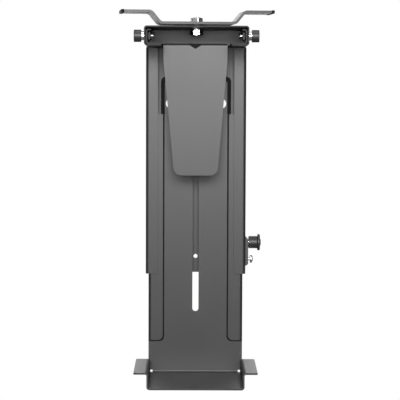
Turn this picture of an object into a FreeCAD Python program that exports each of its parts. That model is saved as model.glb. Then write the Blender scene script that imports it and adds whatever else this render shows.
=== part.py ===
import FreeCAD, Part
import math
import os

# Height-adjustable CPU holder that hangs from a desk track (millimetres).
# Frame: +Z up, -Y towards the open clamp side, +X towards the index plunger.
# Origin: on the swivel axis, level with the top faces of the carriage wings.

V = FreeCAD.Vector
X_AXIS = V(1, 0, 0)
Y_AXIS = V(0, 1, 0)
Z_AXIS = V(0, 0, 1)

# ---- driving dimensions ---------------------------------------------------

SHEET = 2.0                     # channel, panel and tray sheet
HOUSING_SHEET = 1.6             # housing, slider and tongue sheet
BEND = 1.5                      # inner bend radius of both

# carriage
CARRIAGE_SHEET = 3.0
CARRIAGE_DEPTH = 40.0
CARRIAGE_BEND = 5.0             # inner bend radius
CARRIAGE_TURN = 6.0             # degrees from square with the housing, as it is left at rest
WING_TIP = 86.3                 # swivel axis to the wing's steel edge
WING_BEND = 52.5                # where a wing starts to drop
WEB_BEND = 42.0                 # where the drop meets the web
WEB_DROP = 13.0                 # wing top to web top
CAP_GRIP = 2.4                  # glide cap's reach over the wing
CAP_END = 0.9
CAP_WALL = 0.35

# swivel stack
BOLT_R = 4.0
BOLT_HEAD_AF = 13.0
BOLT_HEAD_H = 5.3
NUT_H = 6.5
WASHER_R = 8.5
WASHER_H = 1.0
THRUST_R = 13.0                 # thrust washer and spacer washer
THRUST_H = 1.4
PIVOT_HOLE_R = 4.25

# top housing
HOUSING_HALF_W = 58.6
HOUSING_FRONT = -52.0
HOUSING_BACK = 52.0
HOUSING_H = 22.0
OPENING_HALF_W = 39.5           # between the flanges under the housing

# upper channel
CHANNEL_FRONT = 36.0
CHANNEL_BACK_FACE = 52.0        # front face of its back plate
CHANNEL_BOTTOM = -305.8
CHANNEL_LIP = 14.0
LIP_CORNER_R = 3.5
RECESS_HALF_W = 41.3
RECESS_TOP = -74.4
RECESS_DEPTH = 4.0
RECESS_SLOPE = 4.5
RECESS_CORNER_R = 6.0
RECESS_GROWTH = 0.8             # how much larger the recess is on the plate's rear
CABLE_HOLE_R = 5.6
CABLE_HOLE_X = 30.0
CABLE_HOLE_Z = -106.1
SAFETY_HOLE_R = 2.4
SAFETY_HOLE_Z = -286.8

# lower panel and its tray
PANEL_HALF_W = 55.4
PANEL_TOP = -118.4
PANEL_FACE = 41.5               # front face between the raised strips
PANEL_WALL_BACK = 50.5
STRIP_RISE = 3.0
STRIP_SLOPE = 1.8
STRIP_WALL_SHIFT = 1.1          # keeps the strip's sloping wall near full thickness
STRIP_INNER = 38.6
STRIP_BOTTOM = -384.8
STRIP_CORNER_R = 6.0
SLOT_HALF_W = 3.6
SLOT_TOP = -155.8
SLOT_BOTTOM = -350.8
TRAY_FLOOR = -423.1             # top face of the tray floor
TRAY_FRONT = -67.0
TRAY_HALF_W = 54.9
TRAY_WALL_H = 17.5              # floor to the top of the side tabs
TAB_TIP = 69.5
TAB_BACK = 29.0
RELIEF_R = 1.5
RELIEF_X = 51.8
RELIEF_UP = 1.1                 # hole centre over the tray floor
WALL_OFF_FLOOR = 6.0            # the panel's side walls stop this far over the floor
TAB_CORNER_R = 2.0

# clamp slider and tongue
TONGUE_FACE = -7.0
TONGUE_TOP_HALF_W = 36.5
TONGUE_FOOT_HALF_W = 24.7
TONGUE_TOP_SHIFT = -1.1         # the tongue hangs a little off centre
TONGUE_FOOT_SHIFT = -0.3
TONGUE_SHOULDER = -55.8
TONGUE_FOOT = -187.8
TONGUE_CORNER_R = 9.5
SLIDER_HALF_W = 56.5
SLIDER_GAP = 0.2                # over the housing flanges
SLIDER_FRONT = -48.0
SLIDER_BACK = 44.0
SLIDER_TOP = -22.3
SLIDER_RETURN = 5.3
SLIDER_SLOT_FRONT = -44.0
SLIDER_SLOT_BACK = 39.0
PAD_THICK = 2.0
PAD_INSET = 5.0

# side clamp knobs
KNOB_Y = -35.0
KNOB_R = 6.9
KNOB_LEN = 8.3
SCREW_R = 3.0
SCREW_CLEAR = 0.3
COLLAR_R = 5.0
COLLAR_LEN = 3.2
SCREW_TIP = 47.0
CLAMP_NUT_W = 9.6
CLAMP_NUT_T = 3.4

# index plunger
PLUNGER_Z = -269.0
INDEX_PITCH = 25.4
INDEX_ABOVE = 5                 # holes over the one in use at rest
INDEX_BELOW = 3
INDEX_HOLE_R = 3.3
PIN_R = 3.0
PIN_TIP = 55.8                  # the pin stops just outside the inner panel
PIN_COLLAR_R = 3.6
PIN_STEM_R = 1.8
BUSHING_R = 4.5
BUSHING_END = 70.0
SPRING_WIRE_R = 0.35
SPRING_R = 2.85
SPRING_TURNS = 5.0
PULL_BARREL_R = 7.2
PULL_BARREL_START = 62.3
PULL_BARREL_END = 72.7
PULL_DISC_R = 9.7
PULL_DISC_T = 3.0
PULL_BOSS_R = 4.0
PULL_BOSS_H = 1.0
PLATE_T = 3.3
PLATE_TOP = -261.8
PLATE_BOTTOM = -296.5
PLATE_W = 15.0
PLATE_SCREW_Z = -288.7
PLATE_SCREW_R = 2.0
PLATE_SCREW_HEAD_R = 4.85

# ---- sizes that follow ----------------------------------------------------

WEB_TOP = -WEB_DROP
WEB_UNDER = WEB_TOP - CARRIAGE_SHEET
WASHERS_MEET = WEB_UNDER - THRUST_H
HOUSING_TOP = WASHERS_MEET - THRUST_H
HOUSING_CEILING = HOUSING_TOP - HOUSING_SHEET
HOUSING_UNDER = HOUSING_TOP - HOUSING_H
FLANGE_TOP = HOUSING_UNDER + HOUSING_SHEET
KNOB_Z = (HOUSING_TOP + HOUSING_UNDER) / 2
CHANNEL_TOP = HOUSING_UNDER - 0.3
CHANNEL_REAR = CHANNEL_BACK_FACE + SHEET
CHANNEL_MID_Y = (CHANNEL_FRONT + CHANNEL_REAR) / 2
SLIDER_UNDER = FLANGE_TOP + SLIDER_GAP
SLIDER_FLOOR = SLIDER_UNDER + HOUSING_SHEET
NUT_TOP = HOUSING_CEILING - WASHER_H
BOLT_END = NUT_TOP - NUT_H - 1.0
FAR = 300.0                     # reach of a cutter that passes right through


# ---- general helpers ------------------------------------------------------

def box(low, high):
    """A block between two opposite corners."""
    return Part.makeBox(high[0] - low[0], high[1] - low[1], high[2] - low[2], V(*low))


def rod(radius, start, end):
    """A round bar from one point to another."""
    start, end = V(*start), V(*end)
    return Part.makeCylinder(radius, (end - start).Length, start, end - start)


def left_of(direction):
    """The unit vector a quarter turn to the left of a direction in the plane."""
    return V(-direction.y, direction.x, 0)


def offset_corners(corners, distance):
    """Corners of the same open path moved sideways, to the left of travel."""
    steps = [(b - a).normalize() for a, b in zip(corners, corners[1:])]
    moved = [corners[0] + left_of(steps[0]) * distance]
    for corner, before, after in zip(corners[1:-1], steps, steps[1:]):
        mitre = left_of(before) + left_of(after)
        moved.append(corner + mitre * (distance * 2 / mitre.dot(mitre)))
    moved.append(corners[-1] + left_of(steps[-1]) * distance)
    return moved


def rounded_edges(corners, radii):
    """Straight runs joined by tangent arcs, with one radius for each inner corner."""
    edges = []
    start = corners[0]
    for before, corner, after, radius in zip(corners, corners[1:], corners[2:], radii):
        into = (corner - before).normalize()
        out = (after - corner).normalize()
        half_turn = into.getAngle(out) / 2
        reach = radius * math.tan(half_turn)
        arc_start = corner - into * reach
        arc_end = corner + out * reach
        bisector = (out - into).normalize()
        middle = corner + bisector * (radius / math.cos(half_turn) - radius)
        edges.append(Part.makeLine(start, arc_start))
        edges.append(Part.Arc(arc_start, middle, arc_end).toShape())
        start = arc_end
    edges.append(Part.makeLine(start, corners[-1]))
    return edges


def sheet_section(points, thickness=SHEET, bend=BEND):
    """Face of bent sheet: one side follows the points, the metal lies to their left."""
    near = [V(a, b, 0) for a, b in points]
    far = offset_corners(near, thickness)
    near_radii = []
    far_radii = []
    for a, b, c in zip(near, near[1:], near[2:]):
        turns_left = (b - a).cross(c - b).z > 0
        near_radii.append(bend + thickness if turns_left else bend)
        far_radii.append(bend if turns_left else bend + thickness)
    edges = rounded_edges(near, near_radii)
    edges.append(Part.makeLine(near[-1], far[-1]))
    edges += rounded_edges(far[::-1], far_radii[::-1])
    edges.append(Part.makeLine(far[0], near[0]))
    return Part.Face(Part.Wire(Part.__sortEdges__(edges)))


def placed(shape, u_axis, v_axis, shift):
    """Turn a shape drawn in the XY plane so that its x and y run along two axes."""
    w_axis = u_axis.cross(v_axis)
    turn = FreeCAD.Matrix(u_axis.x, v_axis.x, w_axis.x, 0,
                          u_axis.y, v_axis.y, w_axis.y, 0,
                          u_axis.z, v_axis.z, w_axis.z, 0,
                          0, 0, 0, 1)
    placement = FreeCAD.Placement(turn)
    placement.Base = shift
    moved = shape.copy()
    moved.Placement = placement
    return moved


def formed_along_y(points, front, back, thickness=SHEET, bend=BEND):
    """Bent sheet whose section lies in X and Z, run from front to back."""
    face = placed(sheet_section(points, thickness, bend), X_AXIS, Z_AXIS, V(0, back, 0))
    return face.extrude(V(0, front - back, 0))


def formed_along_x(points, half_width, thickness=SHEET):
    """Bent sheet whose section lies in Y and Z, run across the width."""
    face = placed(sheet_section(points, thickness), Y_AXIS, Z_AXIS, V(-half_width, 0, 0))
    return face.extrude(V(2 * half_width, 0, 0))


def formed_along_z(points, bottom, top):
    """Bent sheet whose section lies in X and Y, run from bottom to top."""
    face = placed(sheet_section(points), X_AXIS, Y_AXIS, V(0, 0, bottom))
    return face.extrude(V(0, 0, top - bottom))


def outline(corners, radii, y):
    """Closed wire in the XZ plane at a given Y, with a radius at each corner."""
    points = [V(a, b, 0) for a, b in corners]
    middle = (points[-1] + points[0]) / 2
    loop = [middle] + points + [middle]
    wire = Part.Wire(Part.__sortEdges__(rounded_edges(loop, radii)))
    return placed(wire, X_AXIS, Z_AXIS, V(0, y, 0))


def slot_along(axis, centre, half_width, half_length, long_axis):
    """Cutter for a slot with round ends, passing right through along an axis."""
    reach = long_axis * (half_length - half_width)
    across = axis.cross(long_axis) * half_width
    a, b = centre - reach, centre + reach
    edges = [Part.makeLine(a + across, b + across),
             Part.Arc(b + across, b + long_axis * half_width, b - across).toShape(),
             Part.makeLine(b - across, a - across),
             Part.Arc(a - across, a - long_axis * half_width, a + across).toShape()]
    face = Part.Face(Part.Wire(edges))
    face.translate(axis * -FAR / 2)
    return face.extrude(axis * FAR)


def turned(profile, axis_point):
    """Solid of revolution about a line along X; the profile gives (x, radius)."""
    points = [V(x, radius, 0) for x, radius in profile]
    face = Part.Face(Part.makePolygon(points + [points[0]]))
    solid = face.revolve(V(0, 0, 0), X_AXIS, 360)
    solid.translate(V(0, axis_point[0], axis_point[1]))
    return solid


def hexagon(across_flats, bottom, top, turn):
    """Upright hexagonal prism on the swivel axis, turned by an angle in degrees."""
    circle_r = across_flats / 2 / math.cos(math.pi / 6)
    angles = [math.radians(turn + 60 * i) for i in range(7)]
    ring = [V(circle_r * math.cos(a), circle_r * math.sin(a), bottom) for a in angles]
    return Part.Face(Part.makePolygon(ring)).extrude(V(0, 0, top - bottom))


def mirrored(shape):
    """The same piece on the other side of the holder."""
    return shape.mirror(V(0, 0, 0), X_AXIS)


# ---- carriage and swivel --------------------------------------------------

def carriage_plate():
    """Hat-shaped strip whose wings run in the desk track."""
    top_face = [(WING_TIP, 0), (WING_BEND, 0), (WEB_BEND, WEB_TOP),
                (-WEB_BEND, WEB_TOP), (-WING_BEND, 0), (-WING_TIP, 0)]
    half = CARRIAGE_DEPTH / 2
    plate = formed_along_y(top_face, -half, half, CARRIAGE_SHEET, CARRIAGE_BEND)
    plate = plate.cut(rod(PIVOT_HOLE_R, (0, 0, -FAR), (0, 0, FAR)))
    return swivelled(plate)


def glide_cap(sign):
    """Plastic cap pushed over a wing's edge; sign 1 is the right wing."""
    half = CARRIAGE_DEPTH / 2
    wall = CAP_WALL
    outer = box((WING_TIP - CAP_GRIP, -half - wall, -CARRIAGE_SHEET - wall),
                (WING_TIP + CAP_END, half + wall, wall))
    outer = outer.makeFillet(0.5, [e for e in outer.Edges if e.BoundBox.XMin > WING_TIP])
    cap = outer.cut(box((0, -half, -CARRIAGE_SHEET), (WING_TIP, half, 0)))
    return swivelled(cap if sign > 0 else mirrored(cap))


def swivelled(shape):
    """Turn a carriage piece about the swivel axis to where it rests."""
    turned_piece = shape.copy()
    turned_piece.rotate(V(0, 0, 0), Z_AXIS, CARRIAGE_TURN)
    return turned_piece


def pivot_bolt():
    """Hexagon-head bolt that the whole holder turns on."""
    head = hexagon(BOLT_HEAD_AF, WEB_TOP, WEB_TOP + BOLT_HEAD_H, 45)
    chamfer = 1.0
    shank = rod(BOLT_R, (0, 0, WEB_TOP), (0, 0, BOLT_END + chamfer))
    point = Part.makeCone(BOLT_R - chamfer, BOLT_R, chamfer, V(0, 0, BOLT_END))
    return head.fuse([shank, point]).removeSplitter()


def washer(radius, bottom, top):
    """Flat ring round the pivot bolt."""
    ring = rod(radius, (0, 0, bottom), (0, 0, top))
    return ring.cut(rod(PIVOT_HOLE_R, (0, 0, bottom - 1), (0, 0, top + 1)))


def pivot_nut():
    """Nut under the housing's top plate, one flat facing the open side."""
    nut = hexagon(BOLT_HEAD_AF, NUT_TOP - NUT_H, NUT_TOP, 0)
    return nut.cut(rod(BOLT_R, (0, 0, -FAR), (0, 0, 0)))


# ---- top housing and upper channel ----------------------------------------

def top_housing():
    """Shallow box, open at the front, that guides the clamp slider."""
    inner = OPENING_HALF_W
    side = HOUSING_HALF_W
    outer_face = [(inner, HOUSING_UNDER), (side, HOUSING_UNDER), (side, HOUSING_TOP),
                  (-side, HOUSING_TOP), (-side, HOUSING_UNDER), (-inner, HOUSING_UNDER)]
    shell = formed_along_y(outer_face, HOUSING_FRONT, HOUSING_BACK, HOUSING_SHEET)
    pivot_hole = rod(PIVOT_HOLE_R, (0, 0, -FAR), (0, 0, FAR))
    knob_hole = rod(SCREW_R + SCREW_CLEAR, (-FAR, KNOB_Y, KNOB_Z), (FAR, KNOB_Y, KNOB_Z))
    return shell.cut([pivot_hole, knob_hole])


def recess_tool(y_front, y_back, grow):
    """Sloping-sided block that forms the back plate's recess."""
    below = CHANNEL_BOTTOM - 20
    wires = []
    for y, inward in ((y_front, 0.0), (y_back, RECESS_SLOPE)):
        half = RECESS_HALF_W + grow - inward
        top = RECESS_TOP + grow - inward
        corners = [(half, top), (-half, top), (-half, below), (half, below)]
        corner_r = RECESS_CORNER_R + grow - inward / 2
        wires.append(outline(corners, [corner_r, corner_r, 1.0, 1.0], y))
    return Part.makeLoft(wires, True, True)


def upper_channel():
    """Lipped channel with a recessed back plate; the back plate closes the housing."""
    side = HOUSING_HALF_W
    lip_edge = side - CHANNEL_LIP
    outer_face = [(lip_edge, CHANNEL_FRONT), (side, CHANNEL_FRONT), (side, CHANNEL_REAR),
                  (-side, CHANNEL_REAR), (-side, CHANNEL_FRONT), (-lip_edge, CHANNEL_FRONT)]
    channel = formed_along_z(outer_face, CHANNEL_BOTTOM, CHANNEL_TOP)
    rear_wall = box((-side, CHANNEL_BACK_FACE, CHANNEL_TOP - 5), (side, CHANNEL_REAR, HOUSING_TOP))
    dish = recess_tool(CHANNEL_REAR, CHANNEL_REAR + RECESS_DEPTH, RECESS_GROWTH)
    hollow = recess_tool(CHANNEL_BACK_FACE, CHANNEL_BACK_FACE + RECESS_DEPTH, 0.0)
    below = box((-FAR, -FAR, CHANNEL_BOTTOM - FAR), (FAR, FAR, CHANNEL_BOTTOM))
    shape = channel.fuse([rear_wall, dish]).cut([hollow, below])
    holes = [rod(CABLE_HOLE_R, (x, 0, CABLE_HOLE_Z), (x, FAR, CABLE_HOLE_Z))
             for x in (-CABLE_HOLE_X, CABLE_HOLE_X)]
    holes.append(rod(SAFETY_HOLE_R, (0, 0, SAFETY_HOLE_Z), (0, FAR, SAFETY_HOLE_Z)))
    holes.append(rod(BUSHING_R, (50, CHANNEL_MID_Y, PLUNGER_Z), (FAR, CHANNEL_MID_Y, PLUNGER_Z)))
    holes.append(rod(PLATE_SCREW_R, (50, CHANNEL_MID_Y, PLATE_SCREW_Z),
                     (FAR, CHANNEL_MID_Y, PLATE_SCREW_Z)))
    for sign in (-1, 1):
        holes.append(lip_corner_cutter(sign))
    return shape.cut(holes).removeSplitter()


def lip_corner_cutter(sign):
    """Waste outside the rounded lower inner corner of a channel lip."""
    edge = HOUSING_HALF_W - CHANNEL_LIP
    r = LIP_CORNER_R
    corner = box((edge - 1, CHANNEL_FRONT - 1, CHANNEL_BOTTOM - 1),
                 (edge + r, CHANNEL_FRONT + SHEET + 1, CHANNEL_BOTTOM + r))
    centre = (edge + r, CHANNEL_BOTTOM + r)
    corner = corner.cut(rod(r, (centre[0], 0, centre[1]), (centre[0], 100, centre[1])))
    return corner if sign > 0 else mirrored(corner)


# ---- lower panel with tray ------------------------------------------------

def strip_tool(y_face, y_front, outer, bottom_shift):
    """Sloping-sided block that forms the raised strip on the right."""
    above = PANEL_TOP + 20
    wires = []
    for y, outward in ((y_face, STRIP_SLOPE), (y_front, 0.0)):
        inner = STRIP_INNER - outward + bottom_shift
        bottom = STRIP_BOTTOM - outward + bottom_shift
        corners = [(inner, above), (inner, bottom), (outer, bottom), (outer, above)]
        wires.append(outline(corners, [0.5, STRIP_CORNER_R, 0.5, 0.5], y))
    return Part.makeLoft(wires, True, True)


def panel_blank():
    """Flat back with its two bent side walls, and the tray floor bent forward."""
    side = PANEL_HALF_W
    back_to_front = [(PANEL_FACE, PANEL_TOP), (PANEL_FACE, TRAY_FLOOR), (TRAY_FRONT, TRAY_FLOOR)]
    sheet = formed_along_x(back_to_front, TRAY_HALF_W)
    floor_edge = TRAY_HALF_W - SHEET - BEND
    for low_x, high_x in ((-FAR, -floor_edge), (floor_edge, FAR)):
        sheet = sheet.cut(box((low_x, TRAY_FRONT - 1, TRAY_FLOOR - SHEET - 1),
                              (high_x, TAB_BACK, TRAY_FLOOR + 1)))
    face = [(-side, PANEL_WALL_BACK), (-side, PANEL_FACE), (side, PANEL_FACE),
            (side, PANEL_WALL_BACK)]
    return sheet.fuse(formed_along_z(face, TRAY_FLOOR + WALL_OFF_FLOOR, PANEL_TOP))


def strip_edge_waste():
    """Waste outside the rounded outer edge of the right raised strip."""
    r = BEND + SHEET
    edge_x = PANEL_HALF_W - r
    edge_y = PANEL_FACE - STRIP_RISE + r
    below = STRIP_BOTTOM - 20
    corner = box((edge_x, edge_y - r - 1, below), (PANEL_HALF_W + 1, edge_y, PANEL_TOP + 1))
    return corner.cut(rod(r, (edge_x, edge_y, below - 1), (edge_x, edge_y, PANEL_TOP + 2)))


def panel_holes():
    """Cutters for the long slot, the row of index holes and the two bend reliefs."""
    slot_mid = (SLOT_TOP + SLOT_BOTTOM) / 2
    holes = [slot_along(Y_AXIS, V(0, PANEL_FACE, slot_mid), SLOT_HALF_W,
                        (SLOT_TOP - SLOT_BOTTOM) / 2, Z_AXIS)]
    for step in range(-INDEX_BELOW, INDEX_ABOVE + 1):
        z = PLUNGER_Z + step * INDEX_PITCH
        holes.append(rod(INDEX_HOLE_R, (40, CHANNEL_MID_Y, z), (FAR, CHANNEL_MID_Y, z)))
    for x in (-RELIEF_X, RELIEF_X):
        z = TRAY_FLOOR + RELIEF_UP
        holes.append(rod(RELIEF_R, (x, PANEL_FACE - BEND, z), (x, 80, z)))
    return holes


def lower_panel():
    """Sliding back panel, bent forward at its foot into the tray."""
    side = PANEL_HALF_W
    strip_face = PANEL_FACE - STRIP_RISE
    raised = strip_tool(PANEL_FACE, strip_face, side, 0.0)
    hollow = strip_tool(PANEL_FACE + SHEET, strip_face + SHEET, side - SHEET, STRIP_WALL_SHIFT)
    above = box((-FAR, -FAR, PANEL_TOP), (FAR, FAR, PANEL_TOP + FAR))
    waste = strip_edge_waste()
    shape = panel_blank()
    shape = shape.fuse([raised, mirrored(raised)]).cut([hollow, mirrored(hollow), above])
    shape = shape.cut([waste, mirrored(waste)]).fuse(tray_sides())
    return shape.cut(panel_holes()).removeSplitter()


def tray_sides():
    """Tray floor with upright sides and outward tabs, as one bent section."""
    wall = TRAY_HALF_W - SHEET
    tab_top = TRAY_FLOOR + TRAY_WALL_H
    upper_face = [(TAB_TIP, tab_top), (wall, tab_top), (wall, TRAY_FLOOR),
                  (-wall, TRAY_FLOOR), (-wall, tab_top), (-TAB_TIP, tab_top)]
    section = formed_along_y(upper_face, TRAY_FRONT, TAB_BACK)
    uprights = [e for e in section.Edges
                if abs(e.BoundBox.XLength) < 0.01 and abs(e.BoundBox.YLength) < 0.01
                and abs(abs(e.BoundBox.XMax) - TAB_TIP) < 0.01]
    return section.makeFillet(TAB_CORNER_R, uprights)


# ---- clamp ----------------------------------------------------------------

def tongue_outline(inset, y):
    """Tapered tongue outline; the inset draws it inwards all round."""
    top = SLIDER_FLOOR + 1.0 if inset == 0 else TONGUE_SHOULDER - inset
    wide = TONGUE_TOP_HALF_W - inset
    narrow = TONGUE_FOOT_HALF_W - inset
    foot = TONGUE_FOOT + inset
    up, low = TONGUE_TOP_SHIFT, TONGUE_FOOT_SHIFT
    corners = [(up + wide, top), (up + wide, TONGUE_SHOULDER - inset), (low + narrow, foot),
               (low - narrow, foot), (up - wide, TONGUE_SHOULDER - inset), (up - wide, top)]
    radii = [1.0, 40.0, TONGUE_CORNER_R, TONGUE_CORNER_R, 40.0, 1.0]
    if inset:
        corners = corners[1:-1]
        radii = [3.0, TONGUE_CORNER_R - inset / 2, TONGUE_CORNER_R - inset / 2, 3.0]
    return outline(corners, radii, y)


def tetrahedron(a, b, c, d):
    """Solid with four corners."""
    faces = [Part.Face(Part.makePolygon([p, q, r, p]))
             for p, q, r in ((a, b, c), (a, b, d), (a, c, d), (b, c, d))]
    solid = Part.Solid(Part.Shell(faces))
    if solid.Volume < 0:
        solid.reverse()
    return solid


def bend_dart(shift):
    """V-shaped stiffening dart pressed into the tongue's bend."""
    half = 10.0
    leg = 8.0
    depth = 6.2
    points = [V(0, TONGUE_FACE + leg, SLIDER_FLOOR), V(0, TONGUE_FACE, SLIDER_FLOOR - depth),
              V(half, TONGUE_FACE, SLIDER_FLOOR), V(-half, TONGUE_FACE, SLIDER_FLOOR)]
    move = V(TONGUE_TOP_SHIFT, shift, -shift)
    return tetrahedron(*[p + move for p in points])


def clamp_tongue():
    """Lipped slider that runs in the housing, with its centre bent down as a tongue."""
    side = SLIDER_HALF_W
    inner = side - SLIDER_RETURN
    outer_face = [(-inner, SLIDER_TOP), (-side, SLIDER_TOP), (-side, SLIDER_UNDER),
                  (side, SLIDER_UNDER), (side, SLIDER_TOP), (inner, SLIDER_TOP)]
    slider = formed_along_y(outer_face, SLIDER_FRONT, SLIDER_BACK, HOUSING_SHEET)
    arm_edge = TONGUE_TOP_HALF_W + 1.5
    centre_gap = box((-arm_edge, SLIDER_FRONT - 1, SLIDER_UNDER - 1),
                     (arm_edge, TONGUE_FACE + 12, SLIDER_FLOOR + 1))
    bent = formed_along_x([(TONGUE_FACE + 13, SLIDER_FLOOR), (TONGUE_FACE, SLIDER_FLOOR),
                           (TONGUE_FACE, TONGUE_FOOT)], arm_edge, HOUSING_SHEET)
    blank = Part.Face(tongue_outline(0, TONGUE_FACE - 5)).extrude(V(0, 40, 0))
    tongue = bent.common(blank)
    rib_shift = HOUSING_SHEET / math.sqrt(2) * 1.3
    tongue = tongue.fuse(bend_dart(rib_shift)).cut(bend_dart(0))
    slot = slot_along(X_AXIS, V(0, (SLIDER_SLOT_FRONT + SLIDER_SLOT_BACK) / 2, KNOB_Z),
                      SCREW_R + SCREW_CLEAR, (SLIDER_SLOT_BACK - SLIDER_SLOT_FRONT) / 2, Y_AXIS)
    return slider.cut([centre_gap, slot]).fuse(tongue).removeSplitter()


def tongue_pad():
    """Foam pad on the tongue's inner face."""
    back = TONGUE_FACE + HOUSING_SHEET
    return Part.Face(tongue_outline(PAD_INSET, back)).extrude(V(0, PAD_THICK, 0))


def clamp_knob():
    """Plastic knob on the right side screw."""
    start = HOUSING_HALF_W + 0.2 + COLLAR_LEN
    end = start + KNOB_LEN
    chamfer = 0.6
    profile = [(start, 0), (start, KNOB_R - chamfer), (start + chamfer, KNOB_R),
               (end - chamfer, KNOB_R), (end, KNOB_R - chamfer), (end, 0)]
    knob = turned(profile, (KNOB_Y, KNOB_Z))
    return knob.cut(rod(SCREW_R, (start - 1, KNOB_Y, KNOB_Z), (start + 5, KNOB_Y, KNOB_Z)))


def clamp_screw():
    """Stud with a collar; it passes the housing wall and the slider's slot."""
    wall = HOUSING_HALF_W + 0.2
    knob_start = wall + COLLAR_LEN
    point = 2.5
    profile = [(SCREW_TIP, 0), (SCREW_TIP, 0.8), (SCREW_TIP + point, SCREW_R),
               (wall, SCREW_R), (wall, COLLAR_R), (knob_start, COLLAR_R),
               (knob_start, SCREW_R), (knob_start + 5, SCREW_R), (knob_start + 5, 0)]
    return turned(profile, (KNOB_Y, KNOB_Z))


def clamp_nut():
    """Square nut inside the slider's flange."""
    outer = SLIDER_HALF_W - HOUSING_SHEET - 0.3
    half = CLAMP_NUT_W / 2
    nut = box((outer - CLAMP_NUT_T, KNOB_Y - half, KNOB_Z - half),
              (outer, KNOB_Y + half, KNOB_Z + half))
    return nut.cut(rod(SCREW_R + 0.08, (0, KNOB_Y, KNOB_Z), (FAR, KNOB_Y, KNOB_Z)))


# ---- index plunger --------------------------------------------------------

PLUNGER_AXIS = (CHANNEL_MID_Y, PLUNGER_Z)
COLLAR_START = 60.0
COLLAR_END = 61.2
CAP_START = BUSHING_END - 1.0
STEM_GRIP = 1.5                 # how far the stem reaches into the knob's disc
BOSS_ROUND = 0.6


def plunger_plate():
    """Small bevelled plate that carries the plunger on the channel's side."""
    x0 = HOUSING_HALF_W
    x1 = x0 + PLATE_T
    top_bevel = 3.6
    bottom_bevel = 2.0
    section = [(x0, PLATE_TOP), (x0, PLATE_BOTTOM), (x1, PLATE_BOTTOM + bottom_bevel),
               (x1, PLATE_TOP - top_bevel)]
    points = [V(a, CHANNEL_MID_Y - PLATE_W / 2, b) for a, b in section]
    plate = Part.Face(Part.makePolygon(points + [points[0]])).extrude(V(0, PLATE_W, 0))
    bores = [rod(BUSHING_R, (0, CHANNEL_MID_Y, PLUNGER_Z), (FAR, CHANNEL_MID_Y, PLUNGER_Z)),
             rod(PLATE_SCREW_R, (0, CHANNEL_MID_Y, PLATE_SCREW_Z),
                 (FAR, CHANNEL_MID_Y, PLATE_SCREW_Z))]
    return plate.cut(bores)


def plunger_bushing():
    """Guide sleeve for the pin, with a capped chamber for the spring."""
    start = HOUSING_HALF_W - SHEET + 0.2
    running = 0.07
    guide_r = PIN_R + running
    chamber_r = PIN_COLLAR_R + running
    stem_r = PIN_STEM_R + running
    profile = [(start, guide_r), (start, BUSHING_R), (BUSHING_END, BUSHING_R),
               (BUSHING_END, stem_r), (CAP_START, stem_r), (CAP_START, chamber_r),
               (COLLAR_START, chamber_r), (COLLAR_START, guide_r)]
    return turned(profile, PLUNGER_AXIS)


def plunger_pin():
    """Locking pin with its spring collar and the stem that carries the knob."""
    nose = 0.8
    stem_end = PULL_BARREL_END + STEM_GRIP
    profile = [(PIN_TIP, 0), (PIN_TIP, PIN_R - nose), (PIN_TIP + nose, PIN_R),
               (COLLAR_START, PIN_R), (COLLAR_START, PIN_COLLAR_R),
               (COLLAR_END, PIN_COLLAR_R), (COLLAR_END, PIN_STEM_R),
               (stem_end, PIN_STEM_R), (stem_end, 0)]
    return turned(profile, PLUNGER_AXIS)


def plunger_spring():
    """Coil spring between the pin's collar and the sleeve's cap."""
    start = COLLAR_END + SPRING_WIRE_R + 0.05
    length = CAP_START - SPRING_WIRE_R - 0.05 - start
    helix = Part.makeHelix(length / SPRING_TURNS, length, SPRING_R)
    wire_end = Part.makeCircle(SPRING_WIRE_R, V(SPRING_R, 0, 0), V(0, 1, 0))
    coil = Part.Wire(helix.Edges).makePipeShell([Part.Wire(wire_end)], True, True)
    coil.rotate(V(0, 0, 0), Y_AXIS, 90)
    coil.translate(V(start, CHANNEL_MID_Y, PLUNGER_Z))
    return coil


def plunger_knob():
    """Hollow pull knob: a barrel with a wide disc and a small boss on its end."""
    wall_clear = 0.4
    cavity_end = BUSHING_END + 0.6
    round_edge = 1.0
    disc_end = PULL_BARREL_END + PULL_DISC_T
    boss_end = disc_end + PULL_BOSS_H
    stem_end = PULL_BARREL_END + STEM_GRIP
    profile = [(PULL_BARREL_START, BUSHING_R + wall_clear),
               (PULL_BARREL_START, PULL_BARREL_R - round_edge),
               (PULL_BARREL_START + round_edge, PULL_BARREL_R),
               (PULL_BARREL_END, PULL_BARREL_R),
               (PULL_BARREL_END, PULL_DISC_R - round_edge),
               (PULL_BARREL_END + round_edge, PULL_DISC_R),
               (disc_end - round_edge, PULL_DISC_R), (disc_end, PULL_DISC_R - round_edge),
               (disc_end, PULL_BOSS_R), (boss_end, PULL_BOSS_R - BOSS_ROUND), (boss_end, 0),
               (stem_end, 0), (stem_end, PIN_STEM_R),
               (cavity_end, PIN_STEM_R), (cavity_end, BUSHING_R + wall_clear)]
    return turned(profile, PLUNGER_AXIS)


def plunger_plate_screw():
    """Pan-head screw that fixes the plate's lower end."""
    tip = HOUSING_HALF_W - SHEET + 0.3
    neck_end = HOUSING_HALF_W + PLATE_T + 2.3
    head_end = neck_end + 3.2
    r = PLATE_SCREW_HEAD_R
    profile = [(tip, 0), (tip, PLATE_SCREW_R), (neck_end, PLATE_SCREW_R), (neck_end, r - 0.5),
               (neck_end + 0.6, r), (head_end - 1.4, r - 0.4), (head_end - 0.4, r - 1.9),
               (head_end, 1.2), (head_end, 0)]
    return turned(profile, (CHANNEL_MID_Y, PLATE_SCREW_Z))


# ---- write every piece ----------------------------------------------------

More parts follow.
